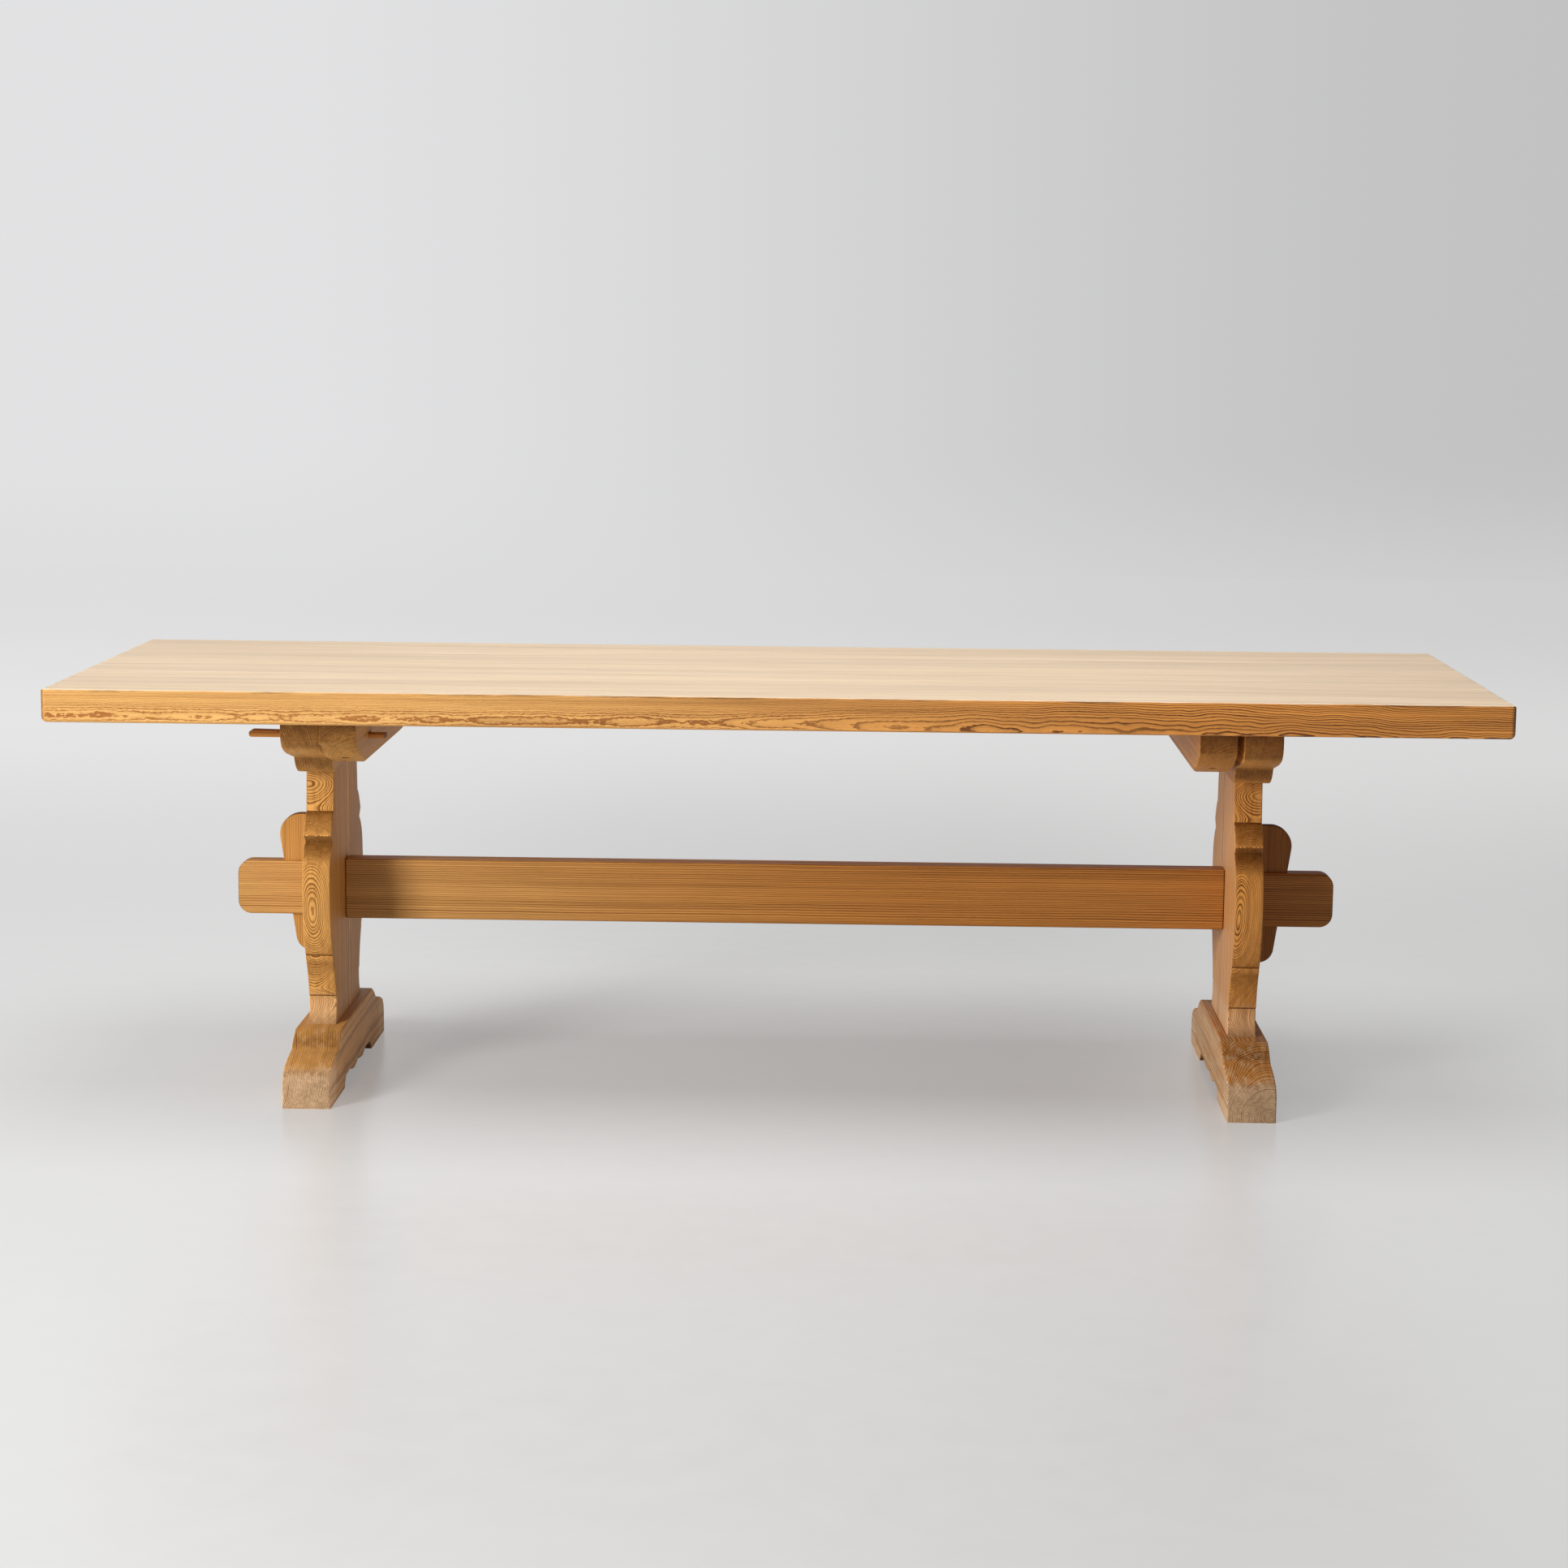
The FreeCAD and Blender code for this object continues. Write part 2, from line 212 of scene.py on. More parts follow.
# The pith's route in each upright's outer boards, as (up from the middle, across, out)
LEFT_PITH = (
    (-0.182, 0.040, -0.074), (-0.157, -0.014, -0.076), (-0.082, -0.006, -0.077), (0.098, -0.008, -0.090),
    (0.153, -0.018, -0.099), (0.200, -0.020, -0.085), (0.228, -0.020, -0.094))
RIGHT_PITH = (
    (-0.202, -0.045, -0.066), (-0.082, -0.020, -0.068), (0.068, -0.013, -0.077), (0.153, 0.012, -0.090),
    (0.198, 0.019, -0.077), (0.228, 0.022, -0.086))

# The pith's route in the top's front board and in the stretcher, as (along, across, up)
FRONT_BOARD_PITH = ((-0.10, -0.105, -0.0150), (0.45, -0.095, -0.024), (1.1, -0.075, -0.055))
STRETCHER_PITH = ((-1.0, 0.04, -0.15), (1.0, 0.05, -0.145))


class Field:
    """A value that varies over a surface. Arithmetic on it adds the Math nodes."""

    def __init__(self, tree, socket=None):
        self.tree = tree
        self.socket = socket

    def make(self, kind, settings=None, sockets=None, out=0):
        """Adds one node: its settings first, then the values or links of its sockets."""
        node = self.tree.nodes.new(kind)
        for name, setting in (settings or {}).items():
            if name == "stops":
                lay_stops(node.color_ramp, setting)
            else:
                setattr(node, name, setting)
        for name, given in (sockets or {}).items():
            if isinstance(given, Field):
                self.tree.links.new(given.socket, node.inputs[name])
            else:
                node.inputs[name].default_value = given
        return Field(self.tree, node.outputs[out])

    def math(self, operation, first, second=0.0):
        return self.make("ShaderNodeMath", {"operation": operation}, {0: first, 1: second})

    def __add__(self, other):
        return self.math("ADD", self, other)

    def __sub__(self, other):
        return self.math("SUBTRACT", self, other)

    def __rsub__(self, other):
        return self.math("SUBTRACT", other, self)

    def __mul__(self, other):
        return self.math("MULTIPLY", self, other)

    def __truediv__(self, other):
        return self.math("DIVIDE", self, other)

    def __pow__(self, other):
        return self.math("POWER", self, other)

    __radd__ = __add__
    __rmul__ = __mul__

    def whole(self):
        return self.math("FLOOR", self)

    def part(self):
        return self.math("FRACT", self)

    def size(self):
        return self.math("ABSOLUTE", self)

    def clip(self):
        return self.make("ShaderNodeClamp", None, {"Value": self})

    def rise(self, low, high):
        """0 below the low value, 1 above the high one, and smooth between."""
        return self.make("ShaderNodeMapRange", {"interpolation_type": "SMOOTHSTEP"},
                         {"Value": self, "From Min": low, "From Max": high})

    def ramp(self, stops):
        """A level read off a ramp of (place, level) stops."""
        return self.make("ShaderNodeValToRGB", {"stops": stops}, {"Fac": self})

    def mix(self, off, on):
        """The colour off where the field is 0, and on where it is 1."""
        return self.make("ShaderNodeMix", {"data_type": "RGBA"}, {0: self, 6: off, 7: on}, out=2)

    def times(self, colour):
        """A colour, darkened or lightened by this level."""
        return self.make("ShaderNodeMix", {"data_type": "RGBA", "blend_type": "MULTIPLY"},
                         {0: 1.0, 6: colour, 7: self}, out=2)


def lay_stops(ramp, stops):
    """Lays (place, level) stops on a grey ramp."""
    while len(ramp.elements) < len(stops):
        ramp.elements.new(1.0)
    for element, (place, level) in zip(ramp.elements, stops):
        element.position = place
        element.color = (level, level, level, 1)


def new_finish(name):
    """A material with its node tree emptied, the tree as a field, and its output node."""
    finish = bpy.data.materials.new(name)
    finish.use_nodes = True
    finish.node_tree.nodes.clear()
    output = finish.node_tree.nodes.new("ShaderNodeOutputMaterial")
    return finish, Field(finish.node_tree), output


def show(output, shader):
    """Sends a shader to the output of its material or of the world."""
    shader.tree.links.new(shader.socket, output.inputs["Surface"])


def seen_rays(tree):
    """1 for what the camera, the gloss and the glass see, and 0 for the light that falls on things."""
    camera, gloss, glass = [tree.make("ShaderNodeLightPath", out=ray)
                            for ray in ("Is Camera Ray", "Is Glossy Ray", "Is Transmission Ray")]
    return (camera + gloss + glass).clip()


def along_grain(tree, grain):
    """Object coordinates as (along the grain, across, up), and how far a face looks along each row axis."""
    place = tree.make("ShaderNodeTexCoord", out="Object")
    facing = tree.make("ShaderNodeTexCoord", out="Normal")
    order = {"X": "XYZ", "Y": "YXZ", "Z": "ZXY"}[grain]
    axes = [tree.make("ShaderNodeSeparateXYZ", None, {0: place}, out=axis) for axis in order]
    return axes, {axis: tree.make("ShaderNodeSeparateXYZ", None, {0: facing}, out=axis) for axis in "XYZ"}


def mottle(axes, mark, seed=0.0):
    """A mark as noise drawn out along the grain, 0 to 1."""
    along, across, up = axes
    (along_scale, across_scale), mark_seed, detail, rough = mark
    spot = along.make("ShaderNodeCombineXYZ", None, {
        0: along * along_scale + (seed + mark_seed), 1: across * across_scale, 2: up * across_scale})
    return along.make("ShaderNodeTexNoise", None,
                      {"Vector": spot, "Scale": 1.0, "Detail": detail, "Roughness": rough})


def pith_at(run, route, axis):
    """Where the pith lies on one axis, on a smooth line through the route's points."""
    place = route[0][axis]
    for near, far in zip(route, route[1:]):
        place = run.rise(near[0], far[0]) * (far[axis] - near[axis]) + place
    return place


def tinted(tones, share):
    """A pair of tones, darkened or lightened by a share."""
    return [[level * share for level in tone[:3]] + [1] for tone in tones]


def pine(name, grain, middle, route, tones, seed=0.0, ring=0.0015, spread=(0.0, 0.0, 1.0), hold=0.0,
         wobble=0.001, waves=(15.0, 45.0, 1.1, 1.1), bends=2.4, rags=0.3, uneven=1.8, late_stops=LATE_STOPS,
         contrast=1.0, streaks=(0.9, 40.0), drift=0.25, rough=0.55, gloss=0.25, far_tones=None,
         fade=(-1.0, 1.0), bare=None, bare_tones=RUBBED_AND_LIT, painted_side_light=0.0, nicks=None):
    """A stick of pine: year rings round its pith, fibres along the grain, and a satin lacquer.

    The pith's route is (along, across, up) from the stick's middle. The rings are one ring width apart, and
    wider by the spread's share between its two places along the stick, reckoned from the hold's distance.
    Bends, waves and rags push the rings about by their shares of the wobble, from slow to fine; the waves
    are (changes per metre along, across, share before the spread, share after it). Uneven makes the years
    differ. The stain runs in streaks of so many changes per metre along and across, as strong as the drift.
    The tones fade into the far tones between two places along the stick. Where the mask of wear and painted light
    says so its pale tones show, as lacquer scuffed away and as painted light; broad faces are lighter by the
    painted side light share, a painted fill light, and nicks are dark."""
    finish, tree, output = new_finish(name)
    axes, facing = along_grain(tree, grain)
    along, across, up = axes
    run = along - middle[0]
    off_across = across - middle[1] - pith_at(run, route, 1)
    off_up = up - middle[2] - pith_at(run, route, 2)
    reach = (off_across * off_across + off_up * off_up) ** 0.5 - hold

    widening, widens_from, widens_to = spread
    onward = run.rise(widens_from, widens_to)
    bend = mottle(axes, BEND, seed) - 0.5
    sway = mottle(axes, (waves[:2], *SWAY), seed) - 0.5
    ragged = mottle(axes, RAGGED, seed) - 0.5
    waver = bend * bends + sway * (onward * (waves[3] - waves[2]) + waves[2])
    year = (reach + ragged * (rags * wobble)) / ((onward * widening + 1.0) * ring) + waver * (wobble / ring)
    year = year + year.make("ShaderNodeTexNoise", {"noise_dimensions": "1D"}, {
        "W": year * YEAR_CHANGE + seed, "Scale": 1.0, "Detail": 1.0}) * uneven
    strength = year.make("ShaderNodeTexWhiteNoise", {"noise_dimensions": "1D"}, {"W": year.whole() + seed})
    strength = FAINTEST_YEAR + (1.0 - FAINTEST_YEAR) * strength
    late_share = (year.part().ramp(late_stops) * strength * contrast).clip()

    fibre = mottle(axes, FIBRE, seed)
    canal = mottle(axes, CANAL, seed).rise(*CANAL_OPENS)
    cloud = mottle(axes, (streaks, *CLOUD), seed)
    line = mottle(axes, LINE, seed)
    speck = mottle(axes, SPECK, seed)
    sawn = facing[grain].size().rise(*SAWN_FACING)
    arris = tree.make("ShaderNodeAttribute", {"attribute_name": "arris"}, out="Fac")
    # The mask of wear and painted light: scuffed wood, and faces lightened as painted light.
    worn_and_lit_share = bare(axes, facing, speck, fibre) if bare else 0.0

    tone_share = late_share + sawn * SAWN_TONE_SHARE
    tone_share = tone_share + (0.5 - cloud) * (CLOUD_TONE_SHARE * drift) + (0.5 - line) * LINE_TONE_SHARE
    early, late = tones
    if far_tones:
        turn = run.rise(*fade)
        early, late = [turn.mix(here, there) for here, there in zip(tones, far_tones)]
    colour = tone_share.clip().mix(early, late)
    roughness = rough + (cloud - 0.5) * CLOUD_ROUGH_SHARE - late_share * LATE_ROUGH_SHARE
    roughness = roughness + sawn * SAWN_ROUGH_SHARE + arris * ARRIS_ROUGH_SHARE
    if bare:
        bare_share = (tone_share - sawn * WORN_AND_LIT_SAWN_TONE_SHARE).clip()
        colour = worn_and_lit_share.mix(colour, bare_share.mix(*bare_tones))
        roughness = roughness + worn_and_lit_share * WORN_AND_LIT_ROUGH_SHARE

    level = 1.0 + (cloud - 0.5) * drift + (line - 0.5) * LINE_LEVEL_SHARE
    level = level + (fibre - 0.5) * FIBRE_LEVEL_SHARE - canal * CANAL_LEVEL_SHARE
    level = level - sawn * (SAWN_LEVEL_SHARE + (speck - 0.5) * SPECK_LEVEL_SHARE - worn_and_lit_share * WORN_AND_LIT_LEVEL_SHARE)
    level = level + arris * (fibre - ARRIS_MIDDLE_SHARE) * ARRIS_LEVEL_SHARE
    # Painted fill light: faces across X are lightened by this share, standing in for light on their shaded sides.
    if painted_side_light:
        level = level + facing["X"].size().rise(*BROAD_FACING) * painted_side_light
    if nicks:
        level = level - nicks(axes, facing) * NICK_LEVEL_SHARE

    height = late_share * LATE_RELIEF_SHARE + fibre * FIBRE_RELIEF_SHARE
    height = height - canal * CANAL_RELIEF_SHARE + speck * sawn * SPECK_RELIEF_SHARE
    relief = tree.make("ShaderNodeBump", None, {
        "Strength": RELIEF_STRENGTH, "Distance": RELIEF_DEPTH, "Height": height})
    show(output, tree.make("ShaderNodeBsdfPrincipled", None, {
        "Base Color": level.times(colour), "Roughness": roughness, "Normal": relief,
        "Specular IOR Level": gloss}))
    return finish


def rubbed_and_lit_foot(patch_share):
    """Where shoes have scuffed the lacquer off the foot, at its toes and in patches elsewhere, and its sides,
    lightened in the same pale tones as painted fill light.
    """
    def worn_and_lit_at(axes, facing, speck, fibre):
        along, across, up = axes
        edge = up + (mottle(axes, TOE_EDGE) - 0.5) * TOE_RAGGED
        low = 1.0 - edge.rise(*TOE_HEIGHT)
        end = (along - FOOT_MIDDLE).size().rise(*TOE_OUT)
        # Painted fill light: the sides are lightened in the pale tones, standing in for light on their shaded
        # faces.
        side = facing["X"].size().rise(*BROAD_FACING) * FOOT_SIDE_LIGHT_SHARE
        patch = mottle(axes, FOOT_PATCH).rise(*FOOT_PATCH_OPENS) * patch_share
        return (low * end * (TOE_BARE_SHARE + (speck - 0.5) + (fibre - 0.5)) + side + patch).clip()
    return worn_and_lit_at


def scuffed_and_lit_upright(side_light_share):
    """Where shoes have scuffed the upright, just above the foot, and how far its broad faces are lightened in the
    pale tones, as painted light.
    """
    def worn_and_lit_at(axes, facing, speck, fibre):
        edge = axes[0] + (mottle(axes, SCUFF_EDGE) - 0.5) * SCUFF_RAGGED
        # Painted light: broad faces are lightened in the pale tones by the side light share.
        broad = facing["X"].size().rise(*BROAD_FACING) * side_light_share
        return ((1.0 - edge.rise(*SCUFF_HEIGHT)) * SCUFF_SHARE + broad).clip()
    return worn_and_lit_at


def scrubbed_and_sheen_top(axes, facing, speck, fibre):
    """The top's upper face, scrubbed pale and lightened further as a painted sheen of the light, with a broken
    border along its arris.
    """
    ragged = mottle(axes, SCRUB_AND_SHEEN_EDGE) - 0.5
    return (facing["Z"] + ragged * SCRUB_AND_SHEEN_RAGGED_SHARE).rise(*SCRUB_AND_SHEEN_FACING)


def nicked_arris(axes, facing):
    """Dark dents and grime in a broken line just under the top's upper arris."""
    ragged = (mottle(axes, GRIME_EDGE) - 0.5) * GRIME_RAGGED
    under = (axes[2] + ragged).rise(*GRIME_HEIGHT)
    upright = 1.0 - facing["Z"].rise(*GRIME_FACING)
    return under * upright * mottle(axes, GRIME_RUN).rise(*GRIME_OPENS)


def middle_of(node, grain):
    """The middle of a piece's box as (along its grain, across, up)."""
    low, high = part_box(node)
    centre = (low + high) / 2
    order = {"X": (0, 1, 2), "Y": (1, 0, 2), "Z": (2, 0, 1)}[grain]
    return [centre[axis] for axis in order]


def dress(piece, finish):
    """Gives a piece its one finish."""
    if not piece.material_slots:
        piece.data.materials.append(finish)
    piece.material_slots[0].material = finish


def dress_in_pine(piece, node, grain, route, tones, **habits):
    """Gives a piece a stick of pine of its own, placed by the node that it stands for."""
    dress(piece, pine(node + "_pine", grain, middle_of(node, grain), route, tones, **habits))


def in_box(point, box):
    """Whether a point lies in the space of another piece, grown by the room of a joint."""
    low, high = box
    return all(low[axis] - JOINT_ROOM < point[axis] < high[axis] + JOINT_ROOM for axis in range(3))


def eased(name, body, radius, planes, mates):
    """A copy of a sawn piece with its arrises eased, which stands for it. Edges that lie on one of the
    given (axis, value) planes, or where another piece passes through, stay sharp."""
    piece = bpy.data.objects.new(name + "_eased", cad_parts[name].data.copy())
    bpy.context.scene.collection.objects.link(piece)
    bpy.ops.object.select_all(action="DESELECT")
    piece.select_set(True)
    bpy.context.view_layer.objects.active = piece
    bpy.ops.mesh.customdata_custom_splitnormals_clear()
    bpy.ops.object.mode_set(mode="EDIT")
    bpy.ops.mesh.select_mode(type="EDGE")
    bpy.ops.mesh.select_all(action="SELECT")
    bpy.ops.mesh.remove_doubles(threshold=MERGE_GAP)
    bpy.ops.mesh.dissolve_limited(angle_limit=FLAT_TURN)
    bpy.ops.mesh.select_all(action="DESELECT")
    work = bmesh.from_edit_mesh(piece.data)
    mate_boxes = [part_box(mate) for mate in mates]
    for edge in work.edges:
        corners = [corner.co for corner in edge.verts]
        middle = (corners[0] + corners[1]) / 2
        flush = any(all(abs(corner[axis] - value) < ON_PLANE for corner in corners) for axis, value in planes)
        joined = any(in_box(middle, box) for box in mate_boxes)
        sharp = len(edge.link_faces) == 2 and edge.calc_face_angle_signed() > ARRIS_TURN
        edge.select = sharp and not flush and not joined
    bmesh.update_edit_mesh(piece.data)
    bpy.ops.mesh.bevel(offset=radius, segments=ARRIS_STEPS, affect="EDGES", clamp_overlap=False)
    bpy.ops.object.mode_set(mode="OBJECT")
    rounded = [1.0 if face.select else 0.0 for face in piece.data.polygons]
    arris = piece.data.attributes.new("arris", "FLOAT", "FACE")
    arris.data.foreach_set("value", rounded)
    bpy.ops.object.shade_smooth_by_angle(angle=SMOOTH_TURN)
    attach(piece, body)
    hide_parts(name)
    return piece


def make_uprights():
    """The six boards of the two uprights, eased where they aren't glued or let into another piece."""
    for side in SIDES:
        low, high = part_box(side + "_upright_middle_board")
        planes = [(1, low.y), (1, high.y), (2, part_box(side + "_foot")[1].z), (2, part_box(side + "_head")[0].z)]
        for place in UPRIGHT_BOARDS:
            name = "%s_upright_%s_board" % (side, place)
            mates = ["stretcher", side + "_foot", side + "_head"]
            yield side, place, name, eased(name, "frame", UPRIGHT_ARRIS, planes, mates)


def turned(route):
    """A pith's route turned end for end, for the board at the back."""
    return [(along, -across, -out) for along, across, out in route]


def dress_uprights():
    """The outer boards show cut rings on their sawn edges; the middle ones show their broad faces alone."""
    routes = {
        ("left", "front"): LEFT_PITH,
        ("left", "middle"): ((0.0, -0.10, 0.02),),
        ("left", "back"): turned(RIGHT_PITH),
        ("right", "front"): RIGHT_PITH,
        ("right", "middle"): ((0.0, 0.11, 0.03),),
        ("right", "back"): turned(LEFT_PITH),
    }
    # The painted side light share lightens each upright's broad faces as painted fill light.
    habits = {
        "left": {"wobble": 0.0015, "bare": scuffed_and_lit_upright(0.0), "painted_side_light": 0.24},
        # The right upright's broad faces are lightened as painted light, by its side light share of 0.28.
        "right": {"wobble": 0.0011, "bare": scuffed_and_lit_upright(0.28), "painted_side_light": 0.20},
    }
    for number, (side, place, name, piece) in enumerate(make_uprights()):
        dress_in_pine(piece, name, "Z", routes[side, place], TRESTLE_TONES[side], seed=11.0 + 3.7 * number,
                      ring=0.0014, streaks=(0.9, 60.0), **habits[side])


def dress_heads_and_cleats():
    """Both end at the underside of the top, where their arrises stay sharp."""
    under_top = [(2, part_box("left_head")[1].z)]
    for side, sign in zip(SIDES, (-1, 1)):
        tones = TRESTLE_TONES[side]
        head = eased(side + "_head", "frame", HEAD_ARRIS, under_top, [side + "_peg"])
        dress_in_pine(head, side + "_head", "Y", ((0.0, sign * 0.20, -0.03),), tones, seed=31.0 + sign,
                      ring=0.0022, wobble=0.0007, contrast=0.6)
        cleat = eased(side + "_cleat", "top", CLEAT_ARRIS, under_top, [side + "_peg", side + "_cleat_screws"])
        dress_in_pine(cleat, side + "_cleat", "Y", ((0.0, 0.036, -0.055),), tones, seed=37.0 + sign,
                      ring=0.0024, wobble=0.0007, contrast=0.55)


def dress_feet():
    """The feet are scuffed down to the wood at the toes, and the right one in more patches; their sides carry
    painted fill light.
    """
    on_floor = [(2, 0.0)]
    piths = {"left": (0.0, -0.16, 0.0), "right": (0.0, 0.030, -0.045)}
    # Painted fill light: the painted side light share lightens each foot's broad faces.
    habits = {
        "left": {"bare": rubbed_and_lit_foot(0.25), "bare_tones": RUBBED_AND_LIT, "painted_side_light": 0.40},
        "right": {"bare": rubbed_and_lit_foot(0.75), "bare_tones": tinted(RUBBED_AND_LIT, 0.86), "painted_side_light": 0.05},
    }
    for side, sign in zip(SIDES, (-1, 1)):
        foot = eased(side + "_foot", "frame", FOOT_ARRIS, on_floor, [])
        dress_in_pine(foot, side + "_foot", "Y", (piths[side],), tinted(TRESTLE_TONES[side], 0.90),
                      seed=43.0 + sign, ring=0.0026, wobble=0.0016, contrast=0.75, **habits[side])


def dress_top():
    """The boards of the top; the front one shows its rings along the table's edge."""
    for number in range(1, TOP_BOARD_COUNT + 1):
        if number == 1:
            habits = {"route": FRONT_BOARD_PITH, "seed": 58.3, "ring": 0.0008, "spread": (3.1, -0.1, 0.9)}
        else:
            pith = (0.0, 0.11 * (-1) ** number, -0.05 - 0.004 * number)
            habits = {"route": (pith,), "seed": 53.0 + 5.3 * number, "ring": 0.0024}
        name = "top_board_%d" % number
        share = TOP_SHARES[number - 1]
        dress_in_pine(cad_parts[name], name, "X", tones=tinted(HONEY, share),
                      far_tones=tinted(SMOKED, share), fade=(-0.8, 0.8), hold=0.055, wobble=0.0013,
                      waves=(10.0, 16.0, 1.7, 3.4), bends=1.0, rags=0.65, late_stops=THIN_STOPS, contrast=1.2,
                      streaks=(1.8, 45.0), drift=0.35, rough=0.42, gloss=0.35, bare=scrubbed_and_sheen_top,
                      bare_tones=tinted(SCRUBBED_AND_SHEEN, share), nicks=nicked_arris, **habits)


def dress_stretcher():
    """Paler at the left end, redder at the right."""
    dress_in_pine(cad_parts["stretcher"], "stretcher", "X", STRETCHER_PITH, tinted(HONEY, 0.87), seed=71.0,
                  ring=0.0031, wobble=0.0016, uneven=1.5, contrast=0.9, far_tones=tinted(RED, 0.92),
                  fade=(-1.1, 0.3))


def dress_keys_and_pegs():
    """The left key is pale and the right one dark, a painted shade for where the right upright shades it; both
    pegs are amber.
    """
    # Painted shade: the right key is darkened to stand in for the shade of the right upright.
    key_tones = {"left": tinted(GOLD, 0.87), "right": tinted(RED, 0.75)}
    for side, sign in zip(SIDES, (-1, 1)):
        key, peg = side + "_key", side + "_peg"
        dress_in_pine(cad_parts[key], key, "Z", ((0.0, sign * 0.14, 0.02),), key_tones[side],
                      seed=83.0 + sign, ring=0.0026, contrast=0.75)
        dress_in_pine(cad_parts[peg], peg, "X", ((0.0, 0.05, -0.03),), AMBER, seed=89.0 + sign, ring=0.003)


def dress_screws():
    """Zinc-plated steel with fine turning marks."""
    for side in SIDES:
        finish, tree, output = new_finish("screw_steel")
        grey = mottle(along_grain(tree, "Z")[0], TURNING)
        show(output, tree.make("ShaderNodeBsdfPrincipled", None, {
            "Base Color": grey.mix(*ZINC), "Metallic": 1.0,
            "Roughness": grey * ZINC_MARK_ROUGH_SHARE + ZINC_ROUGH}))
        dress(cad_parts[side + "_cleat_screws"], finish)


def room_finish(name, wall):
    """Pale grey floor or wall; the camera and the gloss see a backdrop far off, painted lighter at the left as
    the key light falls off, and on the floor a glow that is stronger at the sides, painted light that lifts the
    trestles' shadows there.
    """
    finish, tree, output = new_finish(name)
    place = tree.make("ShaderNodeTexCoord", out="Object")
    x, y = [tree.make("ShaderNodeSeparateXYZ", None, {0: place}, out=axis) for axis in "XY"]
    cloud = tree.make("ShaderNodeTexNoise", None, {"Vector": place, "Scale": FLOOR_CLOUD_SCALE, "Detail": 4.0})
    scuff = tree.make("ShaderNodeTexNoise", None, {"Vector": place, "Scale": FLOOR_SCUFF_SCALE, "Detail": 5.0})
    level = FLOOR_LEVEL + (cloud - 0.5) * FLOOR_CLOUD_SHARE + (scuff - 0.5) * FLOOR_SCUFF_SHARE
    surface = tree.make("ShaderNodeBsdfPrincipled", None, {
        "Base Color": level.times(FLOOR_GREY), "Roughness": scuff * FLOOR_SCUFF_ROUGH_SHARE + FLOOR_ROUGH,
        "Specular IOR Level": FLOOR_GLOSS})

    # Painted light: the backdrop's greys run lighter at the left, where the key light falls.
    rightward = x.rise(*KEY_FALLOFF_RUN)
    back = rightward.mix(*BACK_GREYS)
    if wall:
        pale = y.rise(*WALL_FADE).mix(back, rightward.mix(*WALL_GREYS))
        share = seen_rays(tree)
    else:
        pale = y.rise(*BACK_RUN).mix(rightward.mix(*NEAR_GREYS), back)
        # Painted light: the glow is stronger at the sides, lifting the shadows that the trestles cast there.
        near = x.size().rise(*FLOOR_SIDE_FILL_FADE) * FLOOR_SIDE_FILL_SHARE + FLOOR_GLOW_SHARE
        share = seen_rays(tree) * (y.rise(*FLOOR_FADE) * (1.0 - near) + near)
    glow = tree.make("ShaderNodeEmission", None, {"Color": pale, "Strength": 1.0})
    show(output, tree.make("ShaderNodeMixShader", None, {0: share, 1: surface, 2: glow}))
    return finish


def add_plane(name, place, turn, wall):
    """A wide plane of the room, which is no part of the table."""
    bpy.ops.object.select_all(action="DESELECT")
    bpy.ops.mesh.primitive_plane_add(size=2 * FLOOR_REACH, location=place, rotation=turn)
    plane = bpy.context.object
    plane.name = name
    dress(plane, room_finish(name + "_grey", wall))


def make_room():
    """A pale floor and a wall far behind."""
    add_plane("floor", (0, 0, 0), (0, 0, 0), False)
    add_plane("wall", (0, WALL_PLACE, WALL_HEIGHT / 2), (math.pi / 2, 0, 0), True)


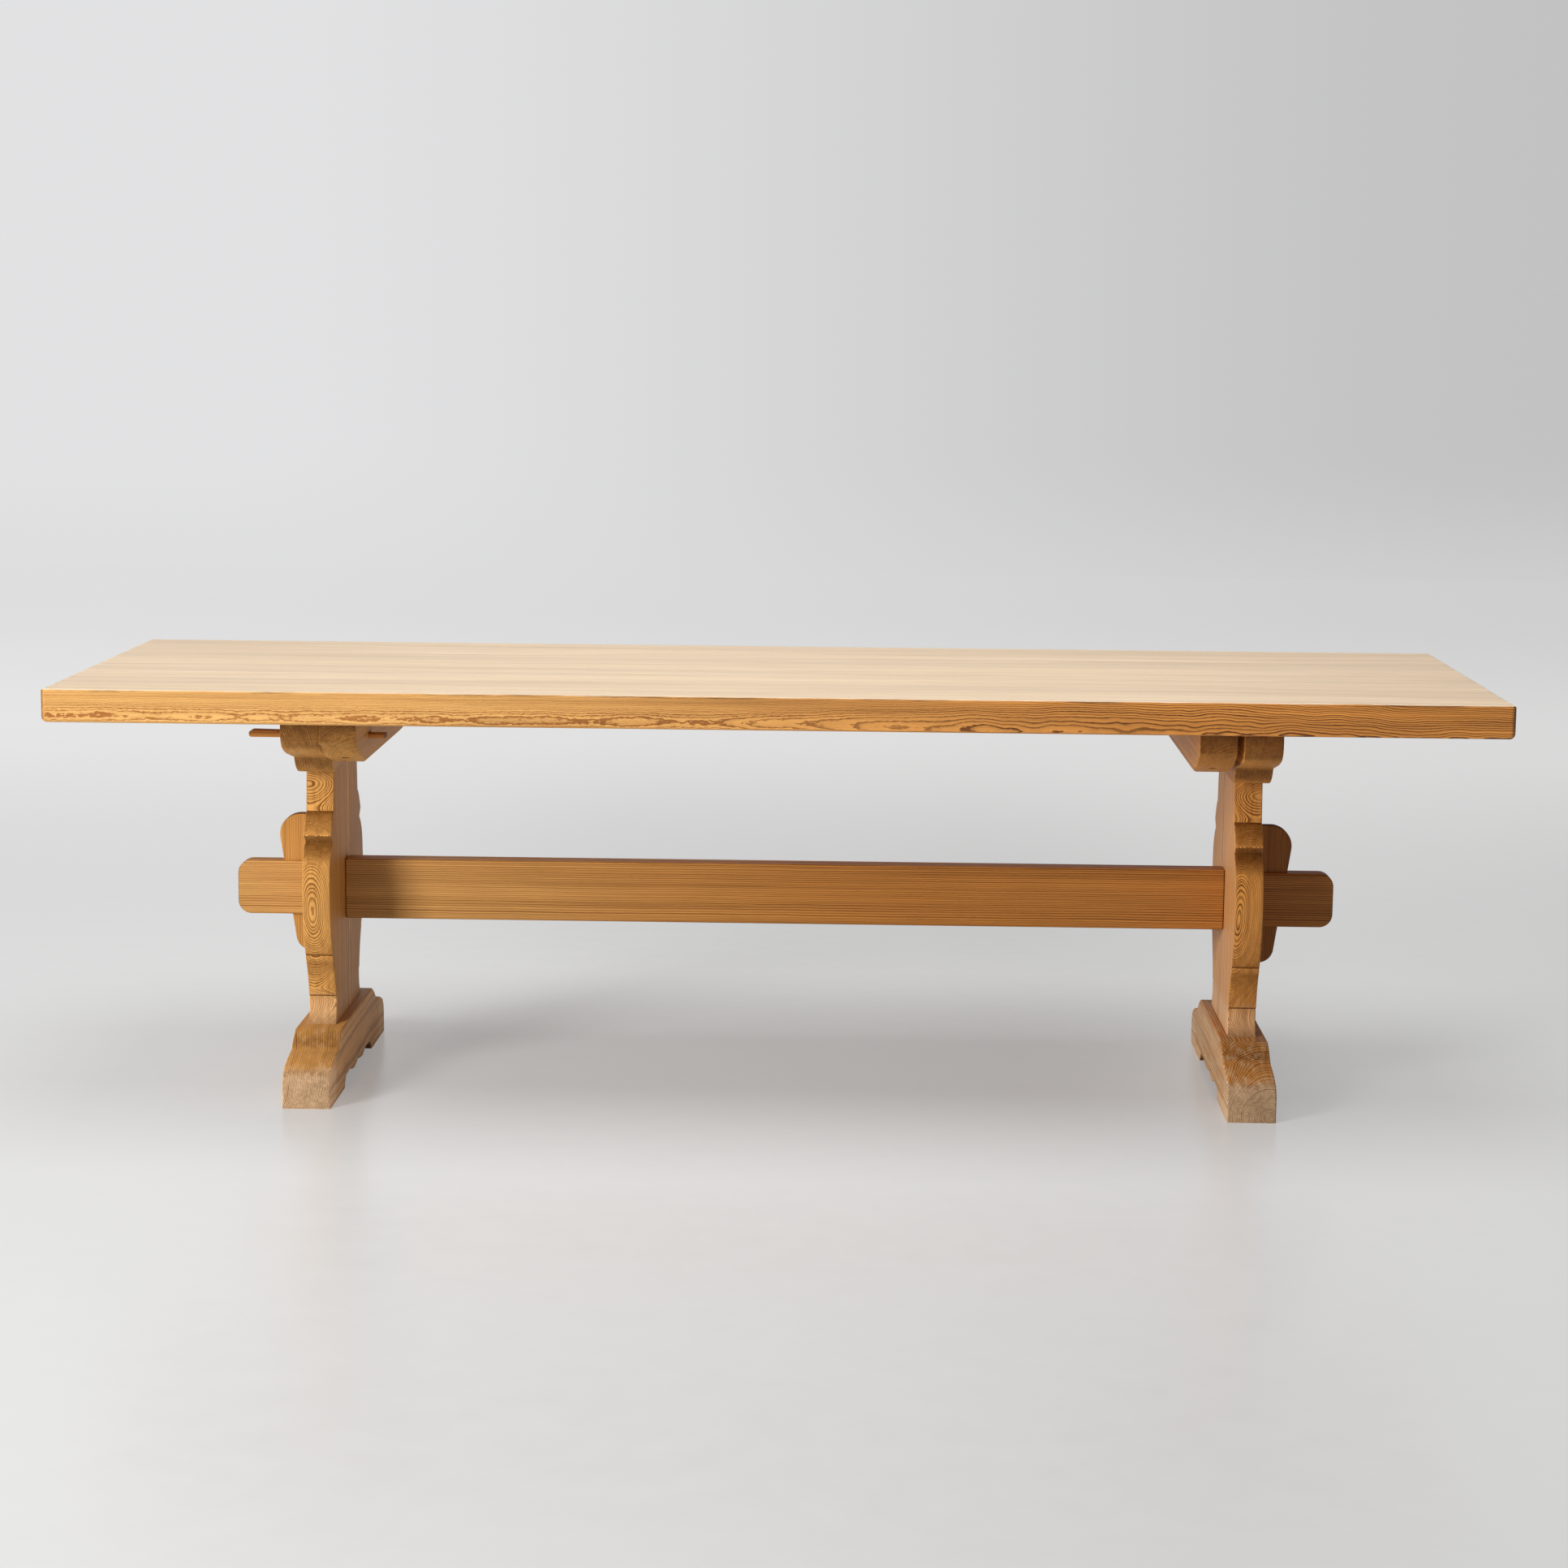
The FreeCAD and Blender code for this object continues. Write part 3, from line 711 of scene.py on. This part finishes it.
def soft_box(name, light, mirrored):
    """A rectangular soft light that looks at a point, and whether glossy surfaces mirror it."""
    place, aim, (width, height), watts = light
    data = bpy.data.lights.new(name, "AREA")
    data.shape = "RECTANGLE"
    data.size = width
    data.size_y = height
    data.energy = watts
    lamp = bpy.data.objects.new(name, data)
    lamp.location = place
    lamp.visible_camera = False
    lamp.visible_glossy = mirrored
    lamp.rotation_euler = (Vector(aim) - Vector(place)).to_track_quat("-Z", "Y").to_euler()
    bpy.context.scene.collection.objects.link(lamp)


def light_room():
    """A large soft light from the front left, one overhead, and a little light from all round."""
    soft_box("key_softbox", KEY_LIGHT, False)
    soft_box("overhead_softbox", OVERHEAD_LIGHT, True)
    world = bpy.data.worlds.new("room_light")
    bpy.context.scene.world = world
    world.use_nodes = True
    world.node_tree.nodes.clear()
    output = world.node_tree.nodes.new("ShaderNodeOutputWorld")
    tree = Field(world.node_tree)
    strength = seen_rays(tree) * SEEN_LIGHT + ROUND_LIGHT
    show(output, tree.make("ShaderNodeBackground", None, {"Color": (1, 1, 1, 1), "Strength": strength}))


def set_camera():
    """The photograph's camera."""
    data = bpy.data.cameras.new("photo_camera")
    data.sensor_width = CAMERA_SENSOR
    data.lens = CAMERA_LENS
    data.clip_end = 4 * FLOOR_REACH
    camera = bpy.data.objects.new("photo_camera", data)
    level = math.cos(CAMERA_PITCH)
    ahead = Vector((math.sin(CAMERA_YAW) * level, math.cos(CAMERA_YAW) * level, -math.sin(CAMERA_PITCH)))
    right = Vector((math.cos(CAMERA_YAW), -math.sin(CAMERA_YAW), 0))
    above = right.cross(ahead)
    rolled_right = right * math.cos(CAMERA_ROLL) + above * math.sin(CAMERA_ROLL)
    rolled_above = above * math.cos(CAMERA_ROLL) - right * math.sin(CAMERA_ROLL)
    turn = Matrix((rolled_right, rolled_above, -ahead)).transposed().to_4x4()
    camera.matrix_world = Matrix.Translation(CAMERA_PLACE) @ turn
    bpy.context.scene.collection.objects.link(camera)
    bpy.context.scene.camera = camera


set_camera()
dress_uprights()
dress_heads_and_cleats()
dress_feet()
dress_top()
dress_stretcher()
dress_keys_and_pegs()
dress_screws()
make_room()
light_room()
bpy.context.scene.view_settings.view_transform = "Standard"
